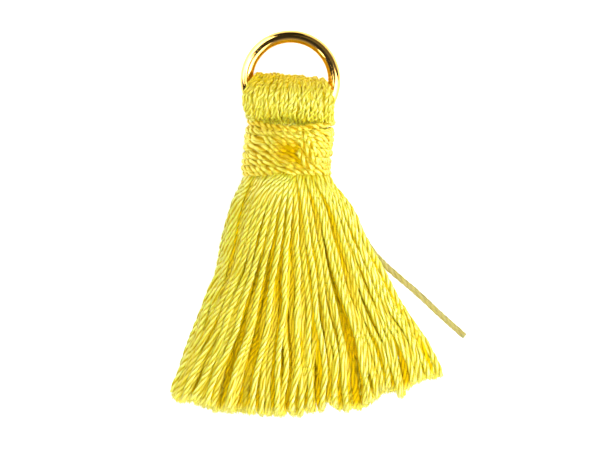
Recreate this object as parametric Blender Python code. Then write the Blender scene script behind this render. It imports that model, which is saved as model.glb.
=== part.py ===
"""A mini silk tassel on a jump ring, lying on its back on a surface.

A hank of twisted yarn is folded over a metal jump ring, which makes the rolled head. A thread
wound round the neck holds the fold shut, and below it the cut yarn hangs free as the skirt. One
end of the binding thread is left long and sticks out at the side.

Metres, +Z up. The origin is on the surface under the middle of the neck: +Y runs from the neck
to the ring, and the skirt fans out towards -Y.
"""

import math
import random
from typing import NamedTuple

import bmesh
import bpy
from mathutils import Matrix, Vector

CLEARANCE = 0.0003  # between pieces that touch on the real tassel

# Jump ring: round wire, closed.
RING_OUTER_DIAMETER = 0.0080
RING_WIRE_DIAMETER = 0.0010
RING_CENTRE = Vector((0.0002, 0.0058, 0.0035))
RING_STEPS = 48
RING_WIRE_SIDES = 11  # odd, so that a flat facet faces the middle of the ring

# Neck: an oval bundle of yarn inside the wound binding.
NECK_HEIGHT = 0.0033  # of its axis above the surface
NECK_LEAN = 0.07  # sideways, over its length
BINDING_HALF_WIDTH = 0.00364
BINDING_HALF_DEPTH = 0.00342
BINDING_LENGTH = 0.0040
BINDING_WALL = 0.00044
BINDING_TURNS = 9
BINDING_GROOVE = 0.00011
BINDING_STEPS = 32
BINDING_SLANT = 0.03  # rise of the turns towards the left, over their width
BINDING_LOWER_EDGE = -BINDING_LENGTH / 2
FLARE_UPPER_HALF_WIDTH = 0.00338  # of the bundle where it swells below the binding
FLARE_LOWER_HALF_WIDTH = 0.00392
FLARE_LENGTH = 0.0006

# Head: the yarn rolled over the ring, thicker at its left end.
HEAD_CENTRE = Vector((0.00010, 0.00433, 0.00345))
HEAD_HALF_WIDTH = 0.00395
HEAD_HALF_HEIGHT = 0.00200
HEAD_HALF_DEPTH = 0.0035
HEAD_ROUNDNESS = 5.5  # exponent of the superellipse that rounds its ends
HEAD_TAPER = 0.09
HEAD_TILT = math.radians(-4)
HEAD_LOOPS = 13  # yarns side by side
HEAD_GROOVE = 0.00016
HEAD_STEPS = 28
HEAD_END = 0.97  # where the last loops stop, as a share of the half width

# Skirt: strands in sheared rows, which share the room of each section.
STRAND_DIAMETER = 0.00042
STRAND_PUFF = 0.22  # how much thicker a strand is at its cut end
STRAND_LENGTH = 0.0189  # from the binding to the cut end
STRAND_LENGTH_SPREAD = 0.00045
STRAND_SIDE_TRIM = 0.0005  # how much shorter the outermost strands are
STRAND_START = 0.00072  # below the binding, inside the flare
STRAND_SEGMENTS = 10
STRAND_EASE = 1.5  # how much longer its segments grow towards its end
STRAND_PITCH = 0.203  # between neighbours in a row, over the half width
STRAND_SHEAR = 0.382  # shift of each row against the one below, in pitches
STRAND_DRIFT = 0.018  # how far a strand strays from its row, by its cut end
STRAND_SWAY = 0.00008
STRAND_SWAY_LENGTH = 0.0075
CLUMP_COUNT = 4.5  # over the half width
CLUMP_PULL = 0.013

# Binding thread's loose end.
TAIL_DIAMETER = 0.00045
TAIL_POINTS = 36

SEED = 7


class Strand(NamedTuple):
    """One strand of the skirt: its seat in the round bundle, and how it strays from it."""

    across: float  # from -1 to 1, over the bundle's width
    up: float  # from -1 to 1, over its depth
    drift_across: float
    drift_up: float
    phase: float  # of its sway
    length: float  # from the binding to the cut end


class Section(NamedTuple):
    """A cross-section of the skirt."""

    down: float  # distance below the binding
    left: float  # reach from the middle of the neck
    right: float
    low: float  # underside of the bundle, at its middle
    high: float  # top of the bundle, at its middle
    side: float  # height of the outermost strands


SKIRT = (
    Section(0.0000, 0.00384, 0.00376, 0.00010, 0.00684, 0.00328),
    Section(0.0007, 0.00404, 0.00396, 0.00004, 0.00694, 0.00324),
    Section(0.0016, 0.00468, 0.00480, 0.00000, 0.00696, 0.00310),
    Section(0.0030, 0.00526, 0.00574, 0.00000, 0.00670, 0.00270),
    Section(0.0050, 0.00578, 0.00660, 0.00000, 0.00620, 0.00210),
    Section(0.0075, 0.00638, 0.00800, 0.00000, 0.00550, 0.00150),
    Section(0.0100, 0.00744, 0.00980, 0.00000, 0.00485, 0.00095),
    Section(0.0125, 0.00842, 0.01180, 0.00000, 0.00430, 0.00055),
    Section(0.0150, 0.00945, 0.01320, 0.00000, 0.00385, 0.00035),
    Section(0.0175, 0.01035, 0.01360, 0.00000, 0.00355, 0.00030),
    Section(0.0200, 0.01070, 0.01370, 0.00000, 0.00340, 0.00030),
)

# The loose end's route: it leaves the binding at the lower right, drops to the surface along the
# skirt's edge, and runs out to the side.
TAIL_ROUTE = (
    Vector((0.00318, -0.00236, 0.00175)),
    Vector((0.00362, -0.00290, 0.00115)),
    Vector((0.00440, -0.00372, 0.00062)),
    Vector((0.00530, -0.00500, 0.00032)),
    Vector((0.00608, -0.00672, 0.00025)),
    Vector((0.00690, -0.00800, 0.00024)),
    Vector((0.00800, -0.00915, 0.00024)),
    Vector((0.00916, -0.01016, 0.00024)),
    Vector((0.01064, -0.01144, 0.00024)),
    Vector((0.01200, -0.01272, 0.00024)),
    Vector((0.01340, -0.01400, 0.00024)),
    Vector((0.01422, -0.01470, 0.00024)),
)


def make_material(name, colour, roughness, metallic):
    """A plain material with the finish of one kind of piece."""
    material = bpy.data.materials.new(name)
    material.use_nodes = True
    shader = material.node_tree.nodes["Principled BSDF"]
    shader.inputs["Base Color"].default_value = (*colour, 1.0)
    shader.inputs["Roughness"].default_value = roughness
    shader.inputs["Metallic"].default_value = metallic
    return material


def collection(name):
    """A new collection in the scene."""
    made = bpy.data.collections.new(name)
    bpy.context.scene.collection.children.link(made)
    return made


def add_object(name, data, group, material=None):
    """An object for this mesh or curve, in that collection."""
    made = bpy.data.objects.new(name, data)
    if material:
        data.materials.append(material)
    group.objects.link(made)
    return made


def add_cutter(name, mesh, group):
    """A helper for a Boolean, which isn't a piece of the tassel."""
    made = add_object(name, mesh, group)
    made.hide_render = True
    made.display_type = "WIRE"
    return made


def add_boolean(target, other, operation):
    """Joins a helper to the target, or cuts it away."""
    modifier = target.modifiers.new(f"{operation.lower()} {other.name}", "BOOLEAN")
    modifier.operation = operation
    modifier.object = other


def spun(name, profile, axis, steps, closed_profile):
    """A mesh turned round an axis through the origin, from points on the profile."""
    shape = bmesh.new()
    corners = [shape.verts.new(point) for point in profile]
    pairs = list(zip(corners, corners[1:]))
    if closed_profile:
        pairs.append((corners[-1], corners[0]))
    edges = [shape.edges.new(pair) for pair in pairs]
    bmesh.ops.spin(
        shape,
        geom=corners + edges,
        cent=(0, 0, 0),
        axis=axis,
        angle=2 * math.pi,
        steps=steps,
        use_merge=True,
    )
    bmesh.ops.remove_doubles(shape, verts=shape.verts, dist=1e-6)
    bmesh.ops.recalc_face_normals(shape, faces=shape.faces)
    mesh = bpy.data.meshes.new(name)
    shape.to_mesh(mesh)
    shape.free()
    return mesh


def press_on_surface(mesh):
    """Flattens what would reach below the surface, as the tassel's own weight does."""
    for vertex in mesh.vertices:
        vertex.co.z = max(vertex.co.z, 0.0)
    mesh.update()


def torus_mesh(name, wire_radius):
    """The ring's shape, with its wire as thick as asked, a facet facing the middle at its far end."""
    bpy.ops.mesh.primitive_torus_add(
        major_radius=(RING_OUTER_DIAMETER - RING_WIRE_DIAMETER) / 2,
        minor_radius=wire_radius,
        major_segments=RING_STEPS,
        minor_segments=RING_WIRE_SIDES,
    )
    made = bpy.context.object
    mesh = made.data
    mesh.name = name
    half_step = math.pi / RING_STEPS
    mesh.transform(Matrix.Translation(RING_CENTRE) @ Matrix.Rotation(half_step, 4, "Z"))
    bpy.data.objects.remove(made)
    return mesh


def head_mesh():
    """The rolled head: a barrel across the ring, with a groove between each two loops of yarn."""
    profile = [Vector((-HEAD_HALF_WIDTH, 0, 0))]
    points = 2 * HEAD_LOOPS + 1
    for index in range(points):
        along = HEAD_END * (2 * index / (points - 1) - 1)
        rounding = (1 - abs(along) ** HEAD_ROUNDNESS) ** (1 / HEAD_ROUNDNESS)
        radius = HEAD_HALF_DEPTH * rounding * (1 - HEAD_TAPER * along)
        in_groove = index % 2 == 0
        radius -= HEAD_GROOVE if in_groove else 0.0
        profile.append(Vector((along * HEAD_HALF_WIDTH, 0, radius)))
    profile.append(Vector((HEAD_HALF_WIDTH, 0, 0)))
    mesh = spun("yarn_hank", profile, (1, 0, 0), HEAD_STEPS, closed_profile=False)
    flatter = Matrix.Scale(HEAD_HALF_HEIGHT / HEAD_HALF_DEPTH, 4, (0, 1, 0))
    turned = Matrix.Rotation(HEAD_TILT, 4, "Z")
    mesh.transform(Matrix.Translation(HEAD_CENTRE) @ turned @ flatter)
    press_on_surface(mesh)
    return mesh


def lean(mesh):
    """Leans the neck sideways, and sets it at its height above the surface."""
    sheared = Matrix.Identity(4)
    sheared[0][1] = NECK_LEAN
    mesh.transform(Matrix.Translation((0, 0, NECK_HEIGHT)) @ sheared)


def neck_mesh():
    """The bundle inside the binding, from the head down to where it flares into the skirt."""
    top = HEAD_CENTRE.y - HEAD_HALF_HEIGHT / 3
    edge = BINDING_LOWER_EDGE - BINDING_SLANT * BINDING_HALF_WIDTH - CLEARANCE
    bundle = BINDING_HALF_WIDTH - BINDING_WALL - CLEARANCE
    outline = (
        (0, top),
        (bundle, top),
        (bundle, edge),
        (FLARE_UPPER_HALF_WIDTH, edge),
        (FLARE_LOWER_HALF_WIDTH, edge - FLARE_LENGTH),
        (0, edge - FLARE_LENGTH),
    )
    profile = [Vector((radius, along, 0)) for radius, along in outline]
    mesh = spun("neck", profile, (0, 1, 0), BINDING_STEPS, closed_profile=False)
    mesh.transform(Matrix.Diagonal((1, 1, BINDING_HALF_DEPTH / BINDING_HALF_WIDTH, 1)))
    lean(mesh)
    press_on_surface(mesh)
    return mesh


def binding_mesh():
    """The wound thread: an oval sleeve with a groove between each two turns."""
    outer = []
    points = 2 * BINDING_TURNS + 1
    for index in range(points):
        along = BINDING_LENGTH * (index / (points - 1) - 0.5)
        in_groove = index % 2 == 0
        radius = 1 - (BINDING_GROOVE / BINDING_HALF_WIDTH if in_groove else 0)
        outer.append(Vector((radius, along, 0)))
    bore = 1 - BINDING_WALL / BINDING_HALF_WIDTH
    inner = [Vector((bore, point.y, 0)) for point in (outer[-1], outer[0])]
    mesh = spun("neck_binding", outer + inner, (0, 1, 0), BINDING_STEPS, closed_profile=True)
    oval = Matrix.Diagonal((BINDING_HALF_WIDTH, 1, BINDING_HALF_DEPTH, 1))
    slant = Matrix.Identity(4)
    slant[1][0] = -BINDING_SLANT
    mesh.transform(slant @ oval)
    lean(mesh)
    press_on_surface(mesh)
    return mesh


def smooth_between(before, start, end, after, share):
    """The value that share of the way from start to end, on a smooth curve through all four."""
    rise_start = (end - before) / 2
    rise_end = (after - start) / 2
    square, cube = share**2, share**3
    return (
        start * (2 * cube - 3 * square + 1)
        + rise_start * (cube - 2 * square + share)
        + end * (3 * square - 2 * cube)
        + rise_end * (cube - square)
    )


def skirt_section(down):
    """The skirt's cross-section at this distance below the binding."""
    last = len(SKIRT) - 1
    row = next((i for i in range(1, last) if SKIRT[i].down > down), last)
    start, end = SKIRT[row - 1], SKIRT[row]
    before, after = SKIRT[max(row - 2, 0)], SKIRT[min(row + 1, last)]
    share = (down - start.down) / (end.down - start.down)
    values = [smooth_between(*four, share) for four in zip(before, start, end, after)]
    return Section(*values)


def skirt_strands():
    """The strands, in offset rows that fill the round bundle."""
    dice = random.Random(SEED)
    row_pitch = STRAND_PITCH * math.sqrt(3) / 2
    rows = math.ceil(1 / row_pitch)
    columns = math.ceil(1 / STRAND_PITCH + STRAND_SHEAR * rows)
    strands = []
    for row in range(-rows, rows + 1):
        for column in range(-columns, columns + 1):
            across = (column + STRAND_SHEAR * row) * STRAND_PITCH
            up = row * row_pitch
            if math.hypot(across, up) > 1:
                continue
            strands.append(
                Strand(
                    across,
                    up,
                    drift_across=dice.uniform(-STRAND_DRIFT, STRAND_DRIFT),
                    drift_up=dice.uniform(-STRAND_DRIFT, STRAND_DRIFT),
                    phase=dice.uniform(0, 2 * math.pi),
                    length=STRAND_LENGTH
                    - STRAND_SIDE_TRIM * across**2
                    + dice.uniform(-1, 1) * STRAND_LENGTH_SPREAD,
                )
            )
    return strands


def strand_point(strand, down):
    """A point on the strand's centreline, at this distance below the binding."""
    loose = min(max(down / STRAND_LENGTH, 0.0), 1.0)
    clump = CLUMP_PULL * math.sin(2 * math.pi * CLUMP_COUNT * strand.across + 1.0)
    across = max(-1.0, min(strand.across + loose * (strand.drift_across + clump), 1.0))
    room = math.sqrt(max(1 - across**2, 1e-4))
    up = max(-room, min(strand.up + loose * strand.drift_up, room))
    section = skirt_section(down)
    radius = STRAND_DIAMETER / 2 * (1 + STRAND_PUFF * loose)
    reach = (section.right if across > 0 else section.left) - radius
    limit = section.high - radius if up > 0 else section.low + radius
    level = (section.high + section.low) / 2
    edge = section.side + (level - section.side) * room
    sway = STRAND_SWAY * loose * math.sin(2 * math.pi * down / STRAND_SWAY_LENGTH + strand.phase)
    return Vector(
        (
            across * reach + sway,
            BINDING_LOWER_EDGE - down,
            max(edge + abs(up) * (limit - level), radius),
        )
    )


def strand_drop(strand):
    """How far below the binding the strand ends, as it spreads sideways."""
    step = STRAND_LENGTH / 100
    down = travelled = STRAND_START
    place = strand_point(strand, down)
    while travelled < strand.length:
        down += step
        reached = strand_point(strand, down)
        travelled += (reached - place).length
        place = reached
    return down


def strand_line(strand):
    """The strand's centreline, from its root in the flare to its cut end."""
    hanging = strand_drop(strand) - STRAND_START
    # A strand bends most where it leaves the binding, so the steps are shorter there.
    shares = [(index / STRAND_SEGMENTS) ** STRAND_EASE for index in range(STRAND_SEGMENTS + 1)]
    return [strand_point(strand, STRAND_START + hanging * share) for share in shares]


def tube_mesh(name, lines, diameter, resolution, puff=0.0):
    """Square or round tubes along the lines, as one mesh with closed ends.

    The puff is how much thicker each is at its end.
    """
    curve = bpy.data.curves.new(name, "CURVE")
    curve.dimensions = "3D"
    curve.bevel_depth = diameter / 2
    curve.bevel_resolution = resolution
    curve.use_fill_caps = True
    for line in lines:
        spline = curve.splines.new("POLY")
        spline.points.add(len(line) - 1)
        for index, (point, place) in enumerate(zip(spline.points, line)):
            point.co = (*place, 1)
            point.radius = 1 + puff * index / (len(line) - 1)
    guide = bpy.data.objects.new(name, curve)
    bpy.context.scene.collection.objects.link(guide)
    graph = bpy.context.evaluated_depsgraph_get()
    mesh = bpy.data.meshes.new_from_object(guide.evaluated_get(graph))
    bpy.data.objects.remove(guide)
    shape = bmesh.new()
    shape.from_mesh(mesh)
    bmesh.ops.remove_doubles(shape, verts=shape.verts, dist=1e-6)
    bmesh.ops.recalc_face_normals(shape, faces=shape.faces)
    shape.to_mesh(mesh)
    shape.free()
    return mesh


def skirt_mesh():
    """All the strands of the skirt, rooted in the flare."""
    lines = [strand_line(strand) for strand in skirt_strands()]
    return tube_mesh("skirt", lines, STRAND_DIAMETER, resolution=0, puff=STRAND_PUFF)


def tail_line():
    """The loose end's centreline: evenly many points on a smooth curve through its route."""
    last = len(TAIL_ROUTE) - 1
    line = []
    for index in range(TAIL_POINTS):
        along = last * index / (TAIL_POINTS - 1)
        row = min(int(along), last - 1)
        line.append(
            smooth_between(
                TAIL_ROUTE[max(row - 1, 0)],
                TAIL_ROUTE[row],
                TAIL_ROUTE[row + 1],
                TAIL_ROUTE[min(row + 2, last)],
                along - row,
            )
        )
    return line


def build_ring(pieces, brass):
    """The jump ring."""
    ring = add_object("jump_ring", torus_mesh("jump_ring", RING_WIRE_DIAMETER / 2), pieces, brass)
    ring.data.shade_smooth()


def build_yarn(pieces, helpers, silk):
    """The hank: head, neck and skirt in one, with the ring's way through the head left open."""
    hank = add_object("yarn_hank", head_mesh(), pieces, silk)
    add_boolean(hank, add_cutter("neck", neck_mesh(), helpers), "UNION")
    add_boolean(hank, add_cutter("skirt", skirt_mesh(), helpers), "UNION")
    way = torus_mesh("ring_way", RING_WIRE_DIAMETER / 2 + CLEARANCE)
    add_boolean(hank, add_cutter("ring_way", way, helpers), "DIFFERENCE")


def build_binding(pieces, silk):
    """The wound thread round the neck, and its loose end."""
    add_object("neck_binding", binding_mesh(), pieces, silk)
    tail = tube_mesh("thread_tail", [tail_line()], TAIL_DIAMETER, resolution=2)
    add_object("thread_tail", tail, pieces, silk)


def main():
    """Builds the tassel in an empty scene."""
    for leftover in list(bpy.data.objects):
        bpy.data.objects.remove(leftover)
    pieces = collection("silk tassel")
    helpers = collection("cutters")
    helpers.hide_render = True
    silk = make_material("yellow silk yarn", (0.90, 0.74, 0.05), 0.45, 0.0)
    brass = make_material("gold plated brass", (0.88, 0.67, 0.30), 0.12, 1.0)
    build_ring(pieces, brass)
    build_yarn(pieces, helpers, silk)
    build_binding(pieces, silk)


main()
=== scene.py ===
"""A silk tassel on a jump ring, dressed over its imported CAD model.

A hank of twisted yarn is folded over a polished jump ring, bound round its neck with more yarn, and
cut at the bottom. One end of waxed thread sticks out at the side. Every piece rides on the single
body "root" and stands for one of the CAD nodes, or for a part of one.
"""

from __future__ import annotations

import logging
import math
import random
from dataclasses import dataclass, field, replace
from enum import Enum
from typing import NamedTuple, Sequence, TypeVar

import bmesh
import bpy
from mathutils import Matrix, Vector, noise

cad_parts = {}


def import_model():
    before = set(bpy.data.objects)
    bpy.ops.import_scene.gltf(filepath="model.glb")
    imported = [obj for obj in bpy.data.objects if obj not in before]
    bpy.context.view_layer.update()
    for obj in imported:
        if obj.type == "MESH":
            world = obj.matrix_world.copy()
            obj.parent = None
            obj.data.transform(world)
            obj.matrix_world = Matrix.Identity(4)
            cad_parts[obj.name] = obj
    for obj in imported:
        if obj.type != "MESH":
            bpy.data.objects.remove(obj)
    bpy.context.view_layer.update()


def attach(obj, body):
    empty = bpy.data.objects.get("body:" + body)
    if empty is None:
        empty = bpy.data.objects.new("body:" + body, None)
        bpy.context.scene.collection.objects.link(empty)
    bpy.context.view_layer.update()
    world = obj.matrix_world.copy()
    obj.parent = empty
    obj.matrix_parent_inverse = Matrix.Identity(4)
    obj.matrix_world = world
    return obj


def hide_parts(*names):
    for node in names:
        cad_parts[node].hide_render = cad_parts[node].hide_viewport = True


MM = 0.001
BODY = "root"
SHADER = "Principled BSDF"
MATH = "ShaderNodeMath"
VECTOR_MATH = "ShaderNodeVectorMath"
STORE = "GeometryNodeStoreNamedAttribute"
Line = list[Vector]
Pieces = list[bpy.types.Object]
Value = TypeVar("Value", float, Vector)

log = logging.getLogger("silk_tassel")


class Ply(Enum):
    """Attributes that a spun yarn carries along, for its finish to read."""

    ALONG = "ply_along"  # millimetres from the yarn's start
    ROUND = "ply_round"  # direction round the ply, as a unit vector
    RUN = "ply_run"  # the way its filaments run, as a unit vector
    SHADE = "yarn_shade"  # one random number for each yarn
    LOOSE = "yarn_loose"  # 1 at a cut end, 0 where the twist holds
    RECESS = "yarn_recess"  # painted shade: 1 deep among neighbouring yarns, 0 on the outside
    GROOVE = "ply_groove"  # painted shade: 1 where a ply meets its neighbour
    OUTWARD = "ply_outward"  # from the yarn's middle to the ply's, as a unit vector


class Twist(Enum):
    """Which way a yarn is twisted, as the sign of its turn along its path."""

    Z = 1.0
    S = -1.0


def linear(hex_colour: str) -> tuple[float, float, float, float]:
    """Turns an sRGB colour into the linear one that Blender's sockets take.

    Args:
        hex_colour: The colour as "#rrggbb".

    Returns:
        Linear red, green and blue, and an alpha of 1.
    """
    channels = [int(hex_colour[start : start + 2], 16) / 255 for start in (1, 3, 5)]
    red, green, blue = (
        value / 12.92 if value <= 0.04045 else ((value + 0.055) / 1.055) ** 2.4
        for value in channels
    )
    return (red, green, blue, 1.0)


def connect(node: bpy.types.Node, inputs: dict[str | int, object] | Sequence[object]) -> None:
    """Fills in a node's inputs.

    Args:
        node: The node.
        inputs: Values, output sockets or whole nodes, by the input's name or number, or in order. A
            whole node gives its first output that is in use.
    """
    for key, value in inputs.items() if isinstance(inputs, dict) else enumerate(inputs):
        if isinstance(value, bpy.types.Node):
            value = next(socket for socket in value.outputs if socket.enabled)
        if isinstance(value, bpy.types.NodeSocket):
            node.id_data.links.new(value, node.inputs[key])
        else:
            node.inputs[key].default_value = value


def add_node(
    tree: bpy.types.NodeTree,
    kind: str,
    inputs: dict[str | int, object] | Sequence[object] = (),
    **settings: object,
) -> bpy.types.Node:
    """Adds a node to a shader or geometry tree.

    Args:
        tree: The tree that gets the node.
        kind: The node's Blender type name.
        inputs: What goes into it, as connect takes it.
        **settings: Properties of the node itself.

    Returns:
        The new node, with its links made.
    """
    node = tree.nodes.new(kind)
    for name, value in settings.items():
        setattr(node, name, value)
    connect(node, inputs)
    return node


def new_material(name: str) -> tuple[bpy.types.Material, bpy.types.NodeTree]:
    """Starts a material that has only its Principled shader.

    Args:
        name: The material's name.

    Returns:
        The material and its node tree.
    """
    material = bpy.data.materials.new(name)
    material.use_nodes = True
    return material, material.node_tree


def link_object(name: str, data: bpy.types.ID) -> bpy.types.Object:
    """Puts a mesh, curve, light or camera in the scene, at the origin.

    Args:
        name: The object's name.
        data: What it shows.

    Returns:
        The object.
    """
    made = bpy.data.objects.new(name, data)
    bpy.context.scene.collection.objects.link(made)
    return made


def make_mesh(name: str, shape: bmesh.types.BMesh, material: bpy.types.Material) -> bpy.types.Mesh:
    """Turns a finished shape into a mesh of one material, and frees the shape.

    Args:
        name: The mesh's name.
        shape: The shape.
        material: What all of it is made of.

    Returns:
        The mesh.
    """
    mesh = bpy.data.meshes.new(name)
    shape.to_mesh(mesh)
    shape.free()
    mesh.materials.append(material)
    return mesh


def within(value: float, low: float = 0.0, high: float = 1.0) -> float:
    """Keeps a value between two limits."""
    return min(max(value, low), high)


def smooth_between(before: Value, start: Value, end: Value, after: Value, share: float) -> Value:
    """Runs a smooth curve through four values, and reads it between the middle two.

    Args:
        before: The value ahead of start; a number or a Vector, as are the others.
        start: The value where share is 0.
        end: The value where share is 1.
        after: The value past end.
        share: How far along, from 0 to 1.

    Returns:
        The value there.
    """
    rise_start = (end - before) / 2
    rise_end = (after - start) / 2
    square, cube = share**2, share**3
    return (
        start * (2 * cube - 3 * square + 1)
        + rise_start * (cube - 2 * square + share)
        + end * (3 * square - 2 * cube)
        + rise_end * (cube - square)
    )


def smooth_path(route: Sequence[Vector], points: int) -> Line:
    """Lays evenly many points on a smooth curve through a route.

    Args:
        route: The places that the curve goes through.
        points: How many points to lay.

    Returns:
        The points, from the first place to the last.
    """
    last = len(route) - 1
    line = []
    for index in range(points):
        along = last * index / (points - 1)
        leg = min(int(along), last - 1)
        four = (route[max(leg - 1, 0)], route[leg], route[leg + 1], route[min(leg + 2, last)])
        line.append(smooth_between(*four, along - leg))
    return line


def read_table(rows: Sequence[tuple[float, float]], place: float) -> float:
    """Reads a table of two columns, straight between its rows.

    Args:
        rows: A place and a value each, in order of place.
        place: Where to read. Past either end, the last value holds.

    Returns:
        The value there.
    """
    last = len(rows) - 1
    row = next((i for i in range(1, last) if rows[i][0] > place), last)
    (start, low), (end, high) = rows[row - 1], rows[row]
    return low + (high - low) * within((place - start) / (end - start))


# Finishes


@dataclass(frozen=True)
class SpunFibre:
    """A yarn or thread of twisted continuous filament, such as rayon or silk."""

    name: str
    slot: str
    crest: str  # colour where the light meets it squarely
    depth: str  # deeper colour of the yarns that took more dye
    recess: str  # colour down between the yarns, where the light is tinted over and over
    groove: str  # painted shade in the groove between two plies
    loose_end: str  # colour where a cut end opens out and scatters the light
    roughness: float = 0.36
    ior: float = 1.8
    lustre: float = 1.0  # specular level; 0.5 is an even, solid fibre
    tinted_shine: float = 0.1  # share of the shine that has been inside the fibre and is tinted
    brushing: float = 0.9  # how far the shine spreads across the filaments rather than along them
    sheen: float = 0.1
    glow_depth: float = 0.3 * MM  # how far light travels inside the fibres
    filaments: float = 12  # bundles of filament round one ply that show as streaks
    streak_length: float = 0.5 * MM
    relief: float = 0.03 * MM
    dye_spread: float = 0.65  # share of the dye's change that is from yarn to yarn, not in streaks
    dulling: float = 0.3  # roughness that a groove or a cut end adds

    def material(self) -> bpy.types.Material:
        """Builds the shader.

        Filament yarn shines along its fibres: a soft highlight over each ply, broken into fine
        streaks that follow the twist. Cut ends are paler and duller. Down between the yarns and in
        the grooves between plies, the colour and the tint of the shine are painted in shade.

        Returns:
            The material.
        """
        material, tree = new_material(self.name)
        read = {
            mark: add_node(tree, "ShaderNodeAttribute", attribute_name=mark.value).outputs
            for mark in Ply
            if mark is not Ply.OUTWARD
        }
        shade, loose, recess, groove = (
            read[mark]["Fac"] for mark in (Ply.SHADE, Ply.LOOSE, Ply.RECESS, Ply.GROOVE)
        )
        wide = {0: read[Ply.ROUND]["Vector"], "Scale": self.filaments / math.tau}
        wide = add_node(tree, VECTOR_MATH, wide, operation="SCALE")
        travel = (read[Ply.ALONG]["Fac"], MM / self.streak_length)
        travel = add_node(tree, MATH, travel, operation="MULTIPLY")
        travel = add_node(tree, "ShaderNodeCombineXYZ", {"Z": travel})
        place = add_node(tree, VECTOR_MATH, (wide, travel), operation="ADD")
        streaks = add_node(
            tree,
            "ShaderNodeTexNoise",
            {"Vector": place, "W": shade, "Scale": 1.0, "Detail": 2.0, "Roughness": 0.6},
            noise_dimensions="4D",
        )
        dye = add_node(tree, MATH, (shade, self.dye_spread, 0.0), operation="MULTIPLY_ADD")
        dye = add_node(tree, MATH, (streaks, 1 - self.dye_spread, dye), operation="MULTIPLY_ADD")
        # Dye varies from yarn to yarn and in streaks. Then shade is painted between the yarns and in the
        # grooves between plies, and last the cut ends are made paler.
        colour = linear(self.crest)
        for share, towards in (
            (dye, self.depth),
            (recess, self.recess),
            (groove, self.groove),
            (loose, self.loose_end),
        ):
            blend = {"Factor": share, "A": colour, "B": linear(towards)}
            colour = add_node(tree, "ShaderNodeMix", blend, data_type="RGBA")
        # Painted shade also tints the shine of grooves and recesses with the recess colour, and makes
        # them rougher.
        painted_shade = add_node(tree, MATH, (groove, recess), operation="MAXIMUM")
        shaded_shine_tint = {"Factor": painted_shade, "A": linear("#ffffff"), "B": linear(self.recess)}
        dull = {
            "Value": add_node(tree, MATH, (loose, painted_shade), operation="MAXIMUM"),
            "To Min": self.roughness,
            "To Max": min(self.roughness + self.dulling, 1.0),
        }
        fibres = add_node(
            tree,
            "ShaderNodeVectorTransform",
            (read[Ply.RUN]["Vector"],),
            vector_type="VECTOR",
            convert_from="OBJECT",
            convert_to="WORLD",
        )
        relief = {"Strength": 1.0, "Distance": self.relief, "Height": streaks}
        connect(
            tree.nodes[SHADER],
            {
                "Base Color": colour,
                "Roughness": add_node(tree, "ShaderNodeMapRange", dull),
                "Normal": add_node(tree, "ShaderNodeBump", relief),
                "Tangent": fibres,
                "Specular Tint": add_node(tree, "ShaderNodeMix", shaded_shine_tint, data_type="RGBA"),
                "Sheen Weight": self.sheen,
                "Sheen Roughness": 0.4,
                "Sheen Tint": linear(self.crest),
                "Subsurface Weight": 0.5,
                "Subsurface Radius": (1.0, 0.8, 0.08),
                "Subsurface Scale": self.glow_depth,
                "IOR": self.ior,
                "Specular IOR Level": self.lustre,
                "Metallic": self.tinted_shine,
                "Anisotropic": self.brushing,
                "Anisotropic Rotation": 0.25,
            },
        )
        return material


@dataclass(frozen=True)
class GoldPlate:
    """Gold-plated brass wire, drawn, bent and barrel-polished."""

    name: str = "gold_plated_brass"
    colour: str = "#f4c870"
    worn: str = "#e6b050"  # where the plate is thinner
    wear_spacing: float = MM / 0.9
    roughness: float = 0.07
    scratch_spacing: float = 0.12 * MM  # real ones are finer, and wouldn't show
    scratch_depth: float = 0.004 * MM
    scratch_dulling: float = 0.08  # roughness that the scratches add

    def material(self) -> bpy.types.Material:
        """Builds the shader.

        It is a mirror with a warm tint. Barrel polishing leaves a very slight unevenness and
        hairline scratches, which soften the reflections a little.

        Returns:
            The material.
        """
        material, tree = new_material(self.name)
        place = add_node(tree, "ShaderNodeTexCoord").outputs["Object"]
        patches = {"Vector": place, "Scale": 1 / self.wear_spacing, "Detail": 3.0}
        wear = add_node(tree, "ShaderNodeTexNoise", patches)
        hairlines = {"Vector": place, "Scale": 1 / self.scratch_spacing, "Detail": 4.0, "Distortion": 1.5}
        scratches = add_node(tree, "ShaderNodeTexNoise", hairlines)
        tint = {"Factor": wear, "A": linear(self.colour), "B": linear(self.worn)}
        dull = {
            "Value": scratches,
            "From Min": 0.35,
            "From Max": 0.75,
            "To Min": self.roughness,
            "To Max": self.roughness + self.scratch_dulling,
        }
        relief = {"Strength": 0.25, "Distance": self.scratch_depth, "Height": scratches}
        connect(
            tree.nodes[SHADER],
            {
                "Base Color": add_node(tree, "ShaderNodeMix", tint, data_type="RGBA"),
                "Roughness": add_node(tree, "ShaderNodeMapRange", dull),
                "Normal": add_node(tree, "ShaderNodeBump", relief),
                "Metallic": 1.0,
            },
        )
        return material


@dataclass(frozen=True)
class CoatedPaper:
    """The smooth white paper that the tassel lies on."""

    name: str = "coated_white_paper"
    colour: str = "#fbfbfa"
    glow: float = 0.4

    def material(self) -> bpy.types.Material:
        """Builds the shader.

        The paper is matt and even. It glows a little, so that it looks plain white and casts some
        light back up on the yarn.

        Returns:
            The material.
        """
        material, tree = new_material(self.name)
        connect(
            tree.nodes[SHADER],
            {
                "Base Color": linear(self.colour),
                "Roughness": 0.9,
                "Specular IOR Level": 0.1,
                "Emission Color": linear(self.colour),
                "Emission Strength": self.glow,
            },
        )
        return material


# Yarn spinning

NOISE_GAIN = 4.0  # Blender's noise keeps near its middle, and this spreads it over the width asked
SEED_STRIDE = 1.7  # how far apart in the noise two seeds lie
START_TURNS = 7.3  # the twist starts up to this many turns on, by the yarn's own number
FRAY_THINNING = 0.15  # share of a ply's thickness that is lost where it frays
SHORTEST_FRAY = 0.001 * MM  # stands for none
GROOVE_EDGES = (-0.1, 0.8)  # how far outwards a ply's side faces where its groove is full, and ends


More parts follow.
